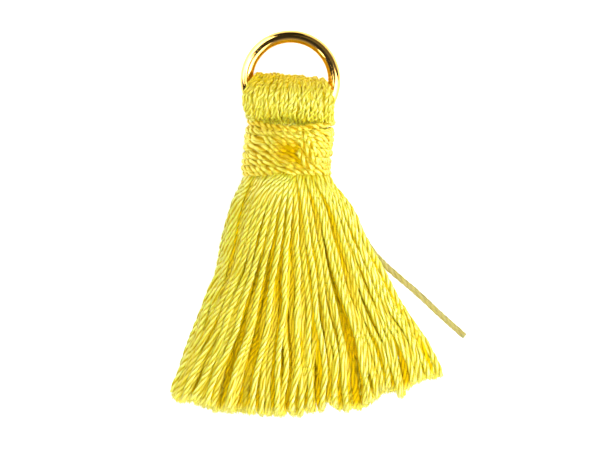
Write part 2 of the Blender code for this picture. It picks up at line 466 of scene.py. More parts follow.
@dataclass
class YarnSpinner:
    """Spins guide lines into twisted yarn, by a Geometry Nodes tree."""

    diameter: float
    plies: int = 2
    pitch: float = 1.9 * MM  # length of one full turn of the twist
    sides: int = 8  # of a ply
    steps_per_turn: int = 9
    lay: float = 0.48  # distance of a ply's middle from the yarn's, in yarn radii
    ply_size: float = 0.55  # radius of a ply, in yarn radii
    waver: float = 0.04 * MM  # how far the yarn strays from its guide
    waver_length: float = 2.2 * MM
    unevenness: float = 1.2  # turns by which the twist runs ahead or falls behind
    slackening: float = 0.0  # share of the twist that is lost by the yarn's end
    swelling: float = 0.0  # how much thicker the yarn is there
    groove_tint: float = 0.4  # how strongly the groove between the plies is painted in shade
    fray_length: float = 0.0  # over which a cut end untwists
    fray_spread: float = 0.0  # how much further apart the plies lie there
    twist: Twist = Twist.Z
    seed: int = 3

    def spin(
        self,
        name: str,
        lines: Sequence[Line],
        material: bpy.types.Material,
        recesses: Sequence[Sequence[float]] | None = None,
    ) -> bpy.types.Object:
        """Makes one mesh of yarn along the guide lines.

        Args:
            name: The piece's name.
            lines: One guide line for each yarn.
            material: What the yarn is made of.
            recesses: How deep each guide point lies among its neighbours, from 0 to 1, which sets its
                painted shade.

        Returns:
            The piece, a plain mesh at the origin.
        """
        guide = bpy.data.curves.new(f"{name}_guide", "CURVE")
        guide.dimensions = "3D"
        for line, depths in zip(lines, recesses or [[0.0] * len(line) for line in lines]):
            spline = guide.splines.new("POLY")
            spline.points.add(len(line) - 1)
            for point, place, depth in zip(spline.points, line, depths):
                point.co = (*place, 1.0)
                point.radius = depth  # the guide has no thickness: its radius carries this
        holder = link_object(f"{name}_guide", guide)
        modifier = holder.modifiers.new("spin", "NODES")
        values = {
            "Yarn Radius": self.diameter / 2,
            "Plies": self.plies,
            "Twist Pitch": self.pitch,
            "Twist Sign": self.twist.value,
            "Step": self.pitch / self.steps_per_turn,
            "Sides": self.sides,
            "Lay": self.lay,
            "Ply Size": self.ply_size,
            "Waver": self.waver,
            "Waver Length": self.waver_length,
            "Unevenness": self.unevenness,
            "Slackening": self.slackening,
            "Swelling": self.swelling,
            "Groove Tint": self.groove_tint,
            "Fray Length": max(self.fray_length, SHORTEST_FRAY),
            "Fray Spread": self.fray_spread,
            "Seed": self.seed,
            "Material": material,
        }
        modifier.node_group, identifiers = self._tree(values)
        for socket_name, value in values.items():
            modifier[identifiers[socket_name]] = value
        graph = bpy.context.evaluated_depsgraph_get()
        mesh = bpy.data.meshes.new_from_object(holder.evaluated_get(graph))
        bpy.data.objects.remove(holder)
        mesh.name = name
        piece = link_object(name, mesh)
        log.info("%s: %d yarns, %d faces", name, len(lines), len(mesh.polygons))
        return piece

    def _tree(self, values: dict[str, object]) -> tuple[bpy.types.NodeTree, dict[str, str]]:
        """Builds the tree that twists plies along every curve it is given.

        Args:
            values: A value for each of its inputs, which says what kind of input it is.

        Returns:
            The tree, and each input's identifier by its name.
        """
        tree = bpy.data.node_groups.new("spin_yarn", "GeometryNodeTree")
        ports = tree.interface
        ports.new_socket("Geometry", in_out="INPUT", socket_type="NodeSocketGeometry")
        kinds = {float: "NodeSocketFloat", int: "NodeSocketInt"}
        identifiers = {}
        for name, value in values.items():
            kind = kinds.get(type(value), "NodeSocketMaterial")
            identifiers[name] = ports.new_socket(name, in_out="INPUT", socket_type=kind).identifier
        ports.new_socket("Geometry", in_out="OUTPUT", socket_type="NodeSocketGeometry")
        given = add_node(tree, "NodeGroupInput").outputs

        # Every yarn gets its own number, which its plies share after they are copied. The guide's
        # radius is how deep it lies, which sets its painted shade.
        evening = {"Curve": given["Geometry"], "Length": given["Step"]}
        yarn = add_node(tree, "GeometryNodeResampleCurve", evening, mode="LENGTH")
        drawing = {"ID": add_node(tree, "GeometryNodeInputIndex"), "Seed": given["Seed"]}
        number = add_node(tree, "FunctionNodeRandomValue", drawing, data_type="FLOAT")
        depth = add_node(tree, "GeometryNodeInputRadius")
        for mark, value, domain in ((Ply.SHADE, number, "CURVE"), (Ply.RECESS, depth, "POINT")):
            stored = {"Geometry": yarn, "Name": mark.value, "Value": value}
            yarn = add_node(tree, STORE, stored, domain=domain, data_type="FLOAT")

        # The yarn strays a little from its guide.
        position = add_node(tree, "GeometryNodeInputPosition")
        waves = {
            "Vector": position,
            "W": add_node(tree, MATH, (given["Seed"], SEED_STRIDE), operation="MULTIPLY"),
            "Scale": add_node(tree, MATH, (1.0, given["Waver Length"]), operation="DIVIDE"),
            "Detail": 1.0,
        }
        stray = add_node(tree, "ShaderNodeTexNoise", waves, noise_dimensions="4D").outputs
        centred = (stray["Color"], (0.5, 0.5, 0.5))
        centred = add_node(tree, VECTOR_MATH, centred, operation="SUBTRACT")
        width = add_node(tree, MATH, (given["Waver"], NOISE_GAIN), operation="MULTIPLY")
        waver = add_node(tree, VECTOR_MATH, {0: centred, "Scale": width}, operation="SCALE")
        yarn = add_node(tree, "GeometryNodeSetPosition", {"Geometry": yarn, "Offset": waver})

        # The plies are copies of the yarn, each with its own turn of the twist at every place. The
        # twist slackens evenly, so half of the loss at a place has built up on the way there.
        copying = {"Geometry": yarn, "Amount": given["Plies"]}
        plies = add_node(tree, "GeometryNodeDuplicateElements", copying, domain="SPLINE").outputs
        along = add_node(tree, "GeometryNodeSplineParameter").outputs["Length"]
        whole = add_node(tree, "GeometryNodeSplineLength")
        gone = add_node(tree, MATH, (along, whole), operation="DIVIDE")
        lost = add_node(tree, MATH, (gone, given["Slackening"]), operation="MULTIPLY")
        kept = add_node(tree, MATH, (lost, -0.5, 1.0), operation="MULTIPLY_ADD")
        turns = add_node(tree, MATH, (along, given["Twist Pitch"]), operation="DIVIDE")
        turns = add_node(tree, MATH, (turns, kept), operation="MULTIPLY")
        own = {"Name": Ply.SHADE.value}
        own = add_node(tree, "GeometryNodeInputNamedAttribute", own, data_type="FLOAT")
        for operation, first, second in (
            ("DIVIDE", plies["Duplicate Index"], given["Plies"]),
            ("MULTIPLY", own, START_TURNS),
            ("MULTIPLY", stray["Fac"], given["Unevenness"]),
        ):
            more = add_node(tree, MATH, (first, second), operation=operation)
            turns = add_node(tree, MATH, (turns, more), operation="ADD")
        angle = add_node(tree, MATH, (turns, math.tau), operation="MULTIPLY")
        angle = add_node(tree, MATH, (angle, given["Twist Sign"]), operation="MULTIPLY")

        # It is laid outwards from the yarn's middle by that turn, further where the end frays.
        left = add_node(tree, MATH, (whole, along), operation="SUBTRACT")
        fray = {
            "Value": left,
            "From Min": 0.0,
            "From Max": given["Fray Length"],
            "To Min": 1.0,
            "To Max": 0.0,
        }
        loose = add_node(tree, "ShaderNodeMapRange", fray, interpolation_type="SMOOTHSTEP")
        normal = add_node(tree, "GeometryNodeInputNormal").outputs["Normal"]
        tangent = add_node(tree, "GeometryNodeInputTangent")
        side = add_node(tree, VECTOR_MATH, (tangent, normal), operation="CROSS_PRODUCT")
        parts = []
        for axis, operation in ((normal, "COSINE"), (side, "SINE")):
            part = {0: axis, "Scale": add_node(tree, MATH, (angle,), operation=operation)}
            parts.append(add_node(tree, VECTOR_MATH, part, operation="SCALE"))
        outward = add_node(tree, VECTOR_MATH, parts, operation="ADD")
        spread = (loose, given["Fray Spread"], 1.0)
        spread = add_node(tree, MATH, spread, operation="MULTIPLY_ADD")
        swollen = (gone, given["Swelling"], 1.0)
        swollen = add_node(tree, MATH, swollen, operation="MULTIPLY_ADD")
        radius = add_node(tree, MATH, (given["Yarn Radius"], swollen), operation="MULTIPLY")
        reach = add_node(tree, MATH, (radius, given["Lay"]), operation="MULTIPLY")
        reach = add_node(tree, MATH, (reach, spread), operation="MULTIPLY")
        stored = {"Geometry": plies["Geometry"], "Name": Ply.OUTWARD.value, "Value": outward}
        faced = add_node(tree, STORE, stored, domain="POINT", data_type="FLOAT_VECTOR")
        offset = add_node(tree, VECTOR_MATH, {0: outward, "Scale": reach}, operation="SCALE")
        laid = add_node(tree, "GeometryNodeSetPosition", {"Geometry": faced, "Offset": offset})
        millimetres = add_node(tree, MATH, (along, MM), operation="DIVIDE")
        for mark, value, data_type in (
            (Ply.ALONG, millimetres, "FLOAT"),
            (Ply.LOOSE, loose, "FLOAT"),
            (Ply.RUN, tangent, "FLOAT_VECTOR"),
        ):
            stored = {"Geometry": laid, "Name": mark.value, "Value": value}
            laid = add_node(tree, STORE, stored, domain="POINT", data_type=data_type)

        # Each ply is a tube. Its section carries the direction round it.
        thin = add_node(tree, MATH, (loose, -FRAY_THINNING, 1.0), operation="MULTIPLY_ADD")
        thick = add_node(tree, MATH, (radius, given["Ply Size"]), operation="MULTIPLY")
        thick = add_node(tree, MATH, (thick, thin), operation="MULTIPLY")
        circle = {"Resolution": given["Sides"], "Radius": 1.0}
        circle = add_node(tree, "GeometryNodeCurvePrimitiveCircle", circle)
        stored = {"Geometry": circle, "Name": Ply.ROUND.value, "Value": position}
        sweep = {
            "Curve": add_node(tree, "GeometryNodeSetCurveRadius", {"Curve": laid, "Radius": thick}),
            "Profile Curve": add_node(tree, STORE, stored, domain="POINT", data_type="FLOAT_VECTOR"),
            "Scale": add_node(tree, "GeometryNodeInputRadius"),
            "Fill Caps": True,
        }
        tube = add_node(tree, "GeometryNodeCurveToMesh", sweep)

        # The side of a ply that faces its neighbour is painted in the shade of a groove.
        outer = {"Name": Ply.OUTWARD.value}
        outer = add_node(tree, "GeometryNodeInputNamedAttribute", outer, data_type="FLOAT_VECTOR")
        deepening = {
            "Value": add_node(tree, VECTOR_MATH, (normal, outer), operation="DOT_PRODUCT"),
            "From Min": GROOVE_EDGES[0],
            "From Max": GROOVE_EDGES[1],
            "To Min": given["Groove Tint"],
            "To Max": 0.0,
        }
        groove = add_node(tree, "ShaderNodeMapRange", deepening, interpolation_type="SMOOTHSTEP")
        stored = {"Geometry": tube, "Name": Ply.GROOVE.value, "Value": groove}
        made = add_node(tree, STORE, stored, domain="POINT", data_type="FLOAT")
        for kind in ("GeometryNodeSetShadeSmooth", "GeometryNodeRealizeInstances"):
            made = add_node(tree, kind, {"Geometry": made})
        dressed = {"Geometry": made, "Material": given["Material"]}
        made = add_node(tree, "GeometryNodeSetMaterial", dressed)
        add_node(tree, "NodeGroupOutput", {"Geometry": made})
        return tree, identifiers


def settle(piece: bpy.types.Object, node: str) -> bpy.types.Object:
    """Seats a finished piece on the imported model.

    Args:
        piece: The finished piece.
        node: The CAD node that it stands for.

    Returns:
        The piece.
    """
    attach(piece, BODY)
    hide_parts(node)
    log.info("%s stands for %s", piece.name, node)
    return piece


# Sub-assemblies


@dataclass
class JumpRing:
    """The closed ring of polished round wire that the tassel hangs from."""

    finish: GoldPlate
    outer_diameter: float = 8.0 * MM
    wire: float = 1.0 * MM
    centre: Vector = field(default_factory=lambda: Vector((0.2, 5.8, 3.5)) * MM)
    steps: int = 160
    wire_sides: int = 40

    def build(self) -> Pieces:
        """Bends the wire into its ring and dresses it.

        Returns:
            The ring.
        """
        ring_radius = (self.outer_diameter - self.wire) / 2
        shape = bmesh.new()
        rows = []
        for step in range(self.steps):
            turn = math.tau * step / self.steps
            outward = Vector((math.cos(turn), math.sin(turn), 0))
            row = []
            for side in range(self.wire_sides):
                lean = math.tau * side / self.wire_sides
                offset = outward * (ring_radius + self.wire / 2 * math.cos(lean))
                offset.z = self.wire / 2 * math.sin(lean)
                row.append(shape.verts.new(self.centre + offset))
            rows.append(row)
        for row, next_row in zip(rows, rows[1:] + rows[:1]):
            for side in range(self.wire_sides):
                after = (side + 1) % self.wire_sides
                shape.faces.new((row[side], next_row[side], next_row[after], row[after]))
        bmesh.ops.recalc_face_normals(shape, faces=shape.faces)
        mesh = make_mesh("polished_jump_ring", shape, self.finish.material())
        mesh.shade_smooth()
        return [settle(link_object("polished_jump_ring", mesh), "jump_ring")]


class Section(NamedTuple):
    """A cross-section of the skirt, in millimetres."""

    down: float  # distance below the binding
    left: float  # reach from the middle of the neck
    right: float
    low: float  # underside of the bundle, at its middle
    high: float  # top of the bundle, at its middle
    side: float  # height of the outermost strands


class Cut(NamedTuple):
    """A place on the line that the scissors followed, in millimetres."""

    across: float  # from the middle of the neck, towards the right
    height: float


class Comb(NamedTuple):
    """How far aside the strands on top are combed, for one seat across the neck."""

    seat: float  # from -1 to 1
    shift: float  # at the cut end, in half-widths of the bundle


class Layer(NamedTuple):
    """The strands of the skirt that make one piece."""

    name: str
    ceiling: float  # how far up the bundle they reach, from -1 to 1
    yarn_diameter: float


@dataclass
class Strand:
    """One strand of the skirt: its seat in the round bundle, and how it strays from it."""

    across: float  # from -1 to 1, over the bundle's width
    up: float  # from -1 to 1, over its depth
    drift_across: float
    drift_up: float
    phase: float  # of its sway
    short: float  # how far short of the cut line it ends
    lift: float = 0.0  # how far it lies over its neighbours, if it crosses them


@dataclass
class Skirt:
    """The cut strands that hang from the neck and fan out on the surface."""

    yarn: SpunFibre
    sections: tuple[Section, ...] = (
        Section(-1.30, 2.90, 2.90, 0.70, 5.90, 3.30),
        Section(-0.40, 3.05, 3.05, 0.50, 6.10, 3.30),
        Section(0.00, 3.62, 3.48, 0.20, 6.60, 3.28),
        Section(0.70, 3.96, 3.92, 0.04, 6.94, 3.24),
        Section(1.60, 4.48, 4.66, 0.00, 6.96, 3.10),
        Section(3.00, 4.94, 5.60, 0.00, 6.70, 2.70),
        Section(5.00, 5.38, 6.54, 0.00, 6.20, 2.10),
        Section(7.50, 5.92, 7.84, 0.00, 5.50, 1.50),
        Section(10.0, 6.94, 9.20, 0.00, 4.85, 0.95),
        Section(12.5, 7.78, 11.00, 0.00, 4.30, 0.55),
        Section(15.0, 8.80, 12.25, 0.00, 3.85, 0.35),
        Section(17.5, 9.75, 12.80, 0.00, 3.55, 0.30),
        Section(20.0, 10.10, 13.00, 0.00, 3.40, 0.30),
    )
    binding_edge: float = -2.0 * MM
    strand_radius: float = 0.21 * MM  # of the solid strands, whose middles these follow
    strand_swell: float = 0.22  # how much thicker those are at the cut
    length: float = 18.9 * MM
    cut_line: tuple[Cut, ...] = (
        Cut(-9.4, -19.2),
        Cut(-8.8, -20.1),
        Cut(-7.6, -20.0),
        Cut(-5.8, -20.9),
        Cut(-5.1, -20.8),
        Cut(-0.6, -21.1),
        Cut(1.0, -21.1),
        Cut(1.8, -20.7),
        Cut(2.3, -21.1),
        Cut(3.2, -20.1),
        Cut(4.4, -20.8),
        Cut(6.0, -20.6),
        Cut(7.7, -19.3),
        Cut(8.6, -19.2),
        Cut(9.1, -19.7),
        Cut(10.0, -18.6),
        Cut(12.2, -18.1),
    )
    cut_spread: float = 0.40 * MM  # the furthest that a strand ends short of the cut line
    cut_evenness: float = 1.5  # 1 spreads them evenly, more leaves most of them near the line
    root: float = 0.9 * MM  # hidden inside the binding
    rest_height: float = 0.37 * MM  # of the lowest strands' middles, over the surface
    pitch: float = 0.134  # between strands, in half-widths of the bundle
    shear: float = 0.382  # how far each row is set aside from the last, in pitches
    drift: float = 0.06
    sway: float = 0.16 * MM
    sway_length: float = 7.5 * MM
    clump_count: float = 6.0
    clump_phase: float = 1.0
    clump_pull: float = 0.022
    combing: tuple[Comb, ...] = (
        Comb(-1.0, 0.0),
        Comb(-0.7, -0.10),
        Comb(-0.45, -0.18),
        Comb(-0.2, -0.22),
        Comb(-0.08, 0.0),
        Comb(0.0, -0.03),
        Comb(0.27, -0.11),
        Comb(0.5, -0.10),
        Comb(0.8, -0.03),
        Comb(1.0, 0.0),
    )
    combed_from: float = 0.1  # height in the bundle, from -1 to 1, where clumps and combing start
    combed_over: float = 0.5  # height over which they come in
    crossings: tuple[Comb, ...] = (
        # one for each strand that lies across the others
        Comb(-0.42, -0.50),
        Comb(-0.32, -0.54),
        Comb(-0.22, -0.56),
        Comb(-0.13, -0.54),
        Comb(-0.05, -0.46),
        Comb(0.03, -0.34),
        Comb(0.10, -0.22),
    )
    crossing_lift: float = 0.30 * MM
    lift_rate: float = 5.0  # they are fully lifted after one part in this of their length
    points: int = 44
    edge_fill: float = 0.14  # how far the strands crowd towards the fan's edges
    layers: tuple[Layer, ...] = (
        Layer("skirt_lower_strands", -0.40, 0.58 * MM),
        Layer("skirt_middle_strands", 0.0, 0.56 * MM),
        Layer("skirt_inner_strands", 0.40, 0.52 * MM),
        Layer("skirt_upper_strands", 1.0, 0.45 * MM),
    )
    cover_width: float = 0.8 * MM  # how far aside a neighbour still shades a strand
    cover_reach: float = 2.4 * MM  # how far off, across the skirt, one does at all
    cover_depth: float = 0.38 * MM  # how far under its neighbours a strand is fully shaded
    filaments_per_end: int = 14
    filament_diameter: float = 0.045 * MM
    tuft_length: float = 0.10 * MM  # how far the loose filaments reach past the twist
    # The six sizes of a tuft that follow are plain millimetres.
    tuft_root: float = 0.5  # how far inside the twist the filaments start
    tuft_radius: float = 0.21
    filament_length: float = 0.78
    tuft_doming: float = 0.26  # how much shorter the outermost filaments are
    filament_spread: float = 0.08
    splay: tuple[float, float] = (-0.02, 0.10)  # least and most that they bend outwards
    filament_steps: tuple[float, ...] = (0.0, 0.35, 0.7, 1.0)  # shares of a filament's length
    seed: int = 7

    def build(self) -> Pieces:
        """Hangs the strands in layers, and opens their cut ends into tufts.

        Returns:
            The layers, from the surface up, and the tufts.
        """
        strands = self._strands()
        material = self.yarn.material()
        lines = [self._line(strand) for strand in strands]
        recesses = self._recesses(strands, lines)
        pieces = []
        floor = -math.inf
        for layer in self.layers:
            spinner = YarnSpinner(
                layer.yarn_diameter,
                plies=3,
                pitch=2.3 * MM,
                sides=6,
                lay=0.50,
                ply_size=0.49,
                waver=0.06 * MM,
                slackening=0.15,
                swelling=0.1,
                groove_tint=1.0,
                fray_length=0.6 * MM,
                fray_spread=0.2,
            )
            chosen = [i for i, strand in enumerate(strands) if floor < strand.up <= layer.ceiling]
            pieces.append(
                spinner.spin(
                    layer.name, [lines[i] for i in chosen], material, [recesses[i] for i in chosen]
                )
            )
            floor = layer.ceiling
        opened = YarnSpinner(
            self.filament_diameter,
            plies=1,
            sides=3,
            steps_per_turn=5,
            pitch=1.0 * MM,
            lay=0.0,
            ply_size=1.0,
            waver=0.02 * MM,
            fray_length=50 * MM,  # far longer than a filament, so all of it counts as loose
            groove_tint=0.0,
        )
        filaments = [end for number, line in enumerate(lines) for end in self._tuft(line, number)]
        pieces.append(opened.spin("skirt_cut_ends", filaments, material))
        return [settle(piece, "yarn_hank") for piece in pieces]

    def _strands(self) -> list[Strand]:
        """Seats the strands in sheared rows that fill the round bundle.

        Returns:
            The strands, row by row from the surface up, and then those that cross them.
        """
        dice = random.Random(self.seed)
        row_pitch = self.pitch * math.sqrt(3) / 2
        rows = math.ceil(1 / row_pitch)
        columns = math.ceil(1 / self.pitch + self.shear * rows)
        strands = []
        for row in range(-rows, rows + 1):
            for column in range(-columns, columns + 1):
                across = (column + self.shear * row) * self.pitch
                up = row * row_pitch
                if math.hypot(across, up) > 1:
                    continue
                strand = Strand(
                    across,
                    up,
                    drift_across=dice.uniform(-self.drift, self.drift),
                    drift_up=dice.uniform(-self.drift, self.drift),
                    phase=dice.uniform(0, math.tau),
                    short=dice.uniform(0, 1) ** self.cut_evenness * self.cut_spread,
                )
                strands.append(strand)
        for crossing in self.crossings:
            strand = Strand(
                crossing.seat,
                up=1.0,
                drift_across=crossing.shift,
                drift_up=0.0,
                phase=dice.uniform(0, math.tau),
                short=dice.uniform(0, 1) * self.cut_spread,
                lift=self.crossing_lift,
            )
            strands.append(strand)
        return strands

    def _section(self, down: float) -> Section:
        """Reads the skirt's cross-section.

        Args:
            down: Distance below the binding, in metres.

        Returns:
            The section there, in millimetres.
        """
        down /= MM
        table, last = self.sections, len(self.sections) - 1
        row = next((i for i in range(1, last) if table[i].down > down), last)
        start, end = table[row - 1], table[row]
        before, after = table[max(row - 2, 0)], table[min(row + 1, last)]
        share = (down - start.down) / (end.down - start.down)
        return Section(*(smooth_between(*four, share) for four in zip(before, start, end, after)))

    def _point(self, strand: Strand, down: float) -> Vector:
        """Finds a point on a strand's middle.

        Args:
            strand: Which strand.
            down: Distance below the binding, in metres.

        Returns:
            The point.
        """
        loose = within(down / self.length)
        seat = strand.across * (1 + self.edge_fill * loose * (1 - strand.across**2))
        if strand.lift:
            across = seat + math.sqrt(loose) * strand.drift_across
        else:
            clumps = math.sin(math.tau * self.clump_count * strand.across + self.clump_phase)
            aside = self.clump_pull * clumps + read_table(self.combing, strand.across)
            aside *= within((strand.up - self.combed_from) / self.combed_over)
            across = seat + loose * (strand.drift_across + aside) * (1 - strand.across**4)
        across = within(across, -1.0)
        room = math.sqrt(max(1 - across**2, 1e-4))
        up = within(strand.up + loose * strand.drift_up, -room, room)
        section = self._section(down)
        radius = self.strand_radius * (1 + self.strand_swell * loose)
        reach = (section.right if across > 0 else section.left) * MM - radius
        limit = section.high * MM - radius if up > 0 else section.low * MM + radius
        level = (section.high + section.low) / 2 * MM
        edge = section.side * MM + (level - section.side * MM) * room
        sway = self.sway * loose * math.sin(math.tau * down / self.sway_length + strand.phase)
        height = max(edge + abs(up) * (limit - level), self.rest_height)
        height += strand.lift * min(loose * self.lift_rate, 1.0)
        return Vector((across * reach + sway, self.binding_edge - down, height))

    def _line(self, strand: Strand) -> Line:
        """Lays a strand's guide line, from inside the binding to its cut end.

        Args:
            strand: Which strand.

        Returns:
            Evenly stepped points.
        """
        step = (self.length + self.root) / self.points
        down = -self.root
        line = [self._point(strand, down)]
        spare = 1.0
        while spare > 0:
            down += step
            end = self._point(strand, down)
            line.append(end)
            cut = read_table(self.cut_line, end.x / MM) * MM
            spare = end.y - cut - self.tuft_length - strand.short
        last_leg = line[-2].y - line[-1].y
        line[-1] = line[-1].lerp(line[-2], min(-spare / last_leg, 0.9))
        return line

    def _recesses(self, strands: Sequence[Strand], lines: Sequence[Line]) -> list[list[float]]:
        """Finds how deep every guide point lies among the other strands, for their painted shade.

        Args:
            strands: The strands.
            lines: Their guide lines, whose points are at the same distances down.

        Returns:
            For each line, a number for each point: 0 on the outside, 1 well covered.
        """
        found = [[] for _ in lines]
        for step in range(max(len(line) for line in lines)):
            here = [(i, line[step]) for i, line in enumerate(lines) if step < len(line)]
            section = self._section(-self.root + step * (self.length + self.root) / self.points)
            width, depth = section.left + section.right, section.high - section.low
            for i, place in here:
                outward = Vector((strands[i].across / width, 0, strands[i].up / depth))
                outward = outward.normalized() if outward.length else Vector((0, 0, 1))
                cover = 0.0
                for j, other in here:
                    if abs(other.x - place.x) > self.cover_reach or j == i:
                        continue
                    apart = Vector((other.x - place.x, 0, other.z - place.z))
                    above = apart.dot(outward)
                    if above > 0:
                        aside = (apart - outward * above).length
                        cover = max(cover, above * max(1 - aside / self.cover_width, 0.0))
                found[i].append(min(cover / self.cover_depth, 1.0))
        return found

    def _tuft(self, line: Line, number: int) -> list[Line]:
        """Opens a strand's cut end into loose filaments.

        Args:
            line: The strand's guide line.
            number: The strand's number, which seeds the tuft.

        Returns:
            One short line for each filament.
        """
        dice = random.Random(self.seed * 1000 + number)
        ahead = (line[-1] - line[-3]).normalized()
        across = ahead.cross(Vector((0, 0, 1))).normalized()
        above = across.cross(ahead)
        filaments = []
        for _ in range(self.filaments_per_end):
            turn = dice.uniform(0, math.tau)
            outward = across * math.cos(turn) + above * math.sin(turn)
            away = math.sqrt(dice.uniform(0.02, 1.0))
            start = line[-1] - ahead * self.tuft_root * MM + outward * away * self.tuft_radius * MM
            reach = self.filament_length - self.tuft_doming * away**2
            reach += dice.uniform(-self.filament_spread, self.filament_spread)
            reach *= MM
            splay = away * dice.uniform(*self.splay) * MM
            filament = [
                start + ahead * reach * share + outward * splay * share**2
                for share in self.filament_steps
            ]
            for point in filament:
                point.z = max(point.z, self.filament_diameter)
            filaments.append(filament)
        return filaments


class Round(NamedTuple):
    """One layer of loops in the head."""

    loops: int
    size: float  # against the outermost ones
    stray: float  # millimetres that a loop leans and wanders aside
    recess: float  # painted shade that it gets for lying deep

    def seats(self) -> list[float]:
        """Spreads the loops evenly over the head. Only an outermost layer reaches its very edges.

        Returns:
            Each loop's place, from -1 to 1.
        """
        if self.size == 1.0:
            return [2 * loop / (self.loops - 1) - 1 for loop in range(self.loops)]
        return [(2 * loop + 1) / self.loops - 1 for loop in range(self.loops)]


class Bow(NamedTuple):
    """A measure that changes over the head's width, in millimetres."""

    middle: float
    slope: float  # towards the right
    bend: float  # towards both sides

    def at(self, across: float) -> float:
        """Reads the measure at a place from -1 to 1, in metres."""
        return (self.middle + self.slope * across + self.bend * across**2) * MM


class Girth(NamedTuple):
    """The head's width at one height."""

    middle: float
    half_width: float
    onset: float = 1.0  # power by which it takes over from the bulge


@dataclass
class Head:
    """The rolled head: nested loops of yarn over the ring."""

    yarn: SpunFibre
    yarn_diameter: float = 0.36 * MM
    core_yarn_diameter: float = 0.54 * MM
    middle_y: Bow = Bow(4.17, -0.22, 0.08)
    half_height: Bow = Bow(1.97, -0.03, -0.18)
    middle_z: float = 3.48 * MM
    half_depth: float = 3.24 * MM
    fullness: float = 2.35  # 2 rolls the loops round, more makes them squarer
    crown: float = 0.2  # how much thinner the roll is at its sides
    bulge: Girth = Girth(0.035 * MM, 3.58 * MM)
    eye: Girth = Girth(0.24 * MM, 2.70 * MM, 1.5)  # between the ring's sides
    fold: Girth = Girth(0.32 * MM, 3.22 * MM, 4.0)  # where the loops curl under
    neck: Girth = Girth(0.10 * MM, 2.50 * MM)
    neck_depth: float = 1.90 * MM
    neck_top: float = 1.90 * MM
    neck_roundness: float = 0.85
    root: float = 1.1 * MM  # how far the ends reach down, inside the binding
    root_taper: float = 0.98
    inner_width: float = 0.9  # of a layer of no size, against the outermost
    roll: tuple[float, float] = (-62.0, 242.0)  # degrees round the ring where a loop starts, ends
    height_spread: float = 0.025
    depth_spread: tuple[float, float] = (-0.035, 0.02)
    shift: float = 0.10 * MM
    meander: float = 0.7  # how far a loop wanders along its way, against its lean
    meander_rate: float = 4.5
    layers: tuple[Round, ...] = (Round(25, 1.0, 0.08, 0.16), Round(20, 0.94, 0.12, 0.6))
    core_layers: tuple[Round, ...] = (
        Round(13, 0.82, 0.10, 0.8),
        Round(12, 0.67, 0.10, 0.9),
        Round(11, 0.52, 0.10, 1.0),
        Round(11, 0.37, 0.10, 1.0),
        Round(11, 0.22, 0.10, 1.0),
        Round(11, 0.08, 0.10, 1.0),
    )
    top_painted_shade: float = 0.7  # painted shade where the loops turn away over the ring, out of the light
    top_edge: float = 4.4 * MM  # height where that starts
    top_run: float = 1.5 * MM  # height over which it comes in
    points: int = 30
    seed: int = 11

    def build(self) -> Pieces:
        """Lays the loops, outermost first, and dresses them.

        Returns:
            The outer loops and the core.
        """
        dice = random.Random(self.seed)
        material = self.yarn.material()
        outside = YarnSpinner(
            self.yarn_diameter,
            pitch=1.4 * MM,
            sides=6,
            waver=0.12 * MM,
            waver_length=0.8 * MM,
            unevenness=0.8,
            groove_tint=0.6,
            seed=5,
        )
        inside = YarnSpinner(self.core_yarn_diameter, sides=6, steps_per_turn=8, seed=6)
        pieces = []
        for name, spinner, layers in (
            ("head_loops", outside, self.layers),
            ("head_core_loops", inside, self.core_layers),
        ):
            lines, recesses = [], []
            for layer in layers:
                for across in layer.seats():
                    line = self._loop(across, layer, dice)
                    lines.append(line)
                    recesses.append([self._recess(layer, place) for place in line])
            piece = spinner.spin(name, lines, material, recesses)
            pieces.append(settle(piece, "yarn_hank"))
        return pieces

    def _recess(self, layer: Round, place: Vector) -> float:
        """Says how much painted shade a place on a loop gets, from 0 to 1."""
        turned = within((place.y - self.top_edge) / self.top_run)
        return min(layer.recess + self.top_painted_shade * turned, 1.0)

    def _full(self, value: float) -> float:
        """Squares off a sine or cosine, so that a circle turns into a fuller roll."""
        return math.copysign(abs(value) ** (2 / self.fullness), value)

    def _loop(self, across: float, layer: Round, dice: random.Random) -> Line:
        """Lays one loop from the front of the neck, over the ring, to its back.

        Args:
            across: The loop's place over the head's width, from -1 to 1.
            layer: The layer that it is in.
            dice: Where its unevenness comes from.

        Returns:
            The loop's guide line.
        """
        size = layer.size
        middle_y = self.middle_y.at(across)
        half_height = self.half_height.at(across) * size
        half_height *= 1 + dice.uniform(-self.height_spread, self.height_spread)
        half_depth = self.half_depth * size * (1 - self.crown * abs(across) ** 3)
        half_depth *= 1 + dice.uniform(*self.depth_spread)
        shift = dice.uniform(-self.shift, self.shift)
        stray = layer.stray * MM
        lean = dice.uniform(-1, 1) * stray
        phase = dice.uniform(0, math.tau)
        place = across * (self.inner_width + (1 - self.inner_width) * size)
        start, stop = (math.radians(angle) for angle in self.roll)
        line = []
        for index in range(self.points):
            turn = start + (stop - start) * index / (self.points - 1)
            height = math.sin(turn)
            end = self.eye if height > 0 else self.fold
            share = abs(height) ** end.onset
            middle_x = self.bulge.middle + (end.middle - self.bulge.middle) * share
            half_width = self.bulge.half_width + (end.half_width - self.bulge.half_width) * share
            wander = lean * height
            wander += stray * self.meander * math.sin(self.meander_rate * turn + phase)
            x = middle_x + place * half_width + shift + wander * (1 - across**4)
            y = middle_y + half_height * self._full(height)
            z = self.middle_z + half_depth * self._full(math.cos(turn))
            line.append(Vector((x, y, z)))
        neck_x = self.neck.middle + place * self.neck.half_width
        neck_depth = self.neck_depth * size * math.sqrt(1 - self.neck_roundness * across**2)
        front, back = (
            [
                Vector((neck_x, self.neck_top, self.middle_z + depth)),
                Vector((neck_x, self.neck_top - self.root, self.middle_z + depth * self.root_taper)),
            ]
            for depth in (neck_depth, -neck_depth)
        )
        line = [*reversed(front), *line, *back]
        for point in line:
            point.z = max(point.z, self.yarn_diameter / 2)
        return smooth_path(line, self.points * 2)


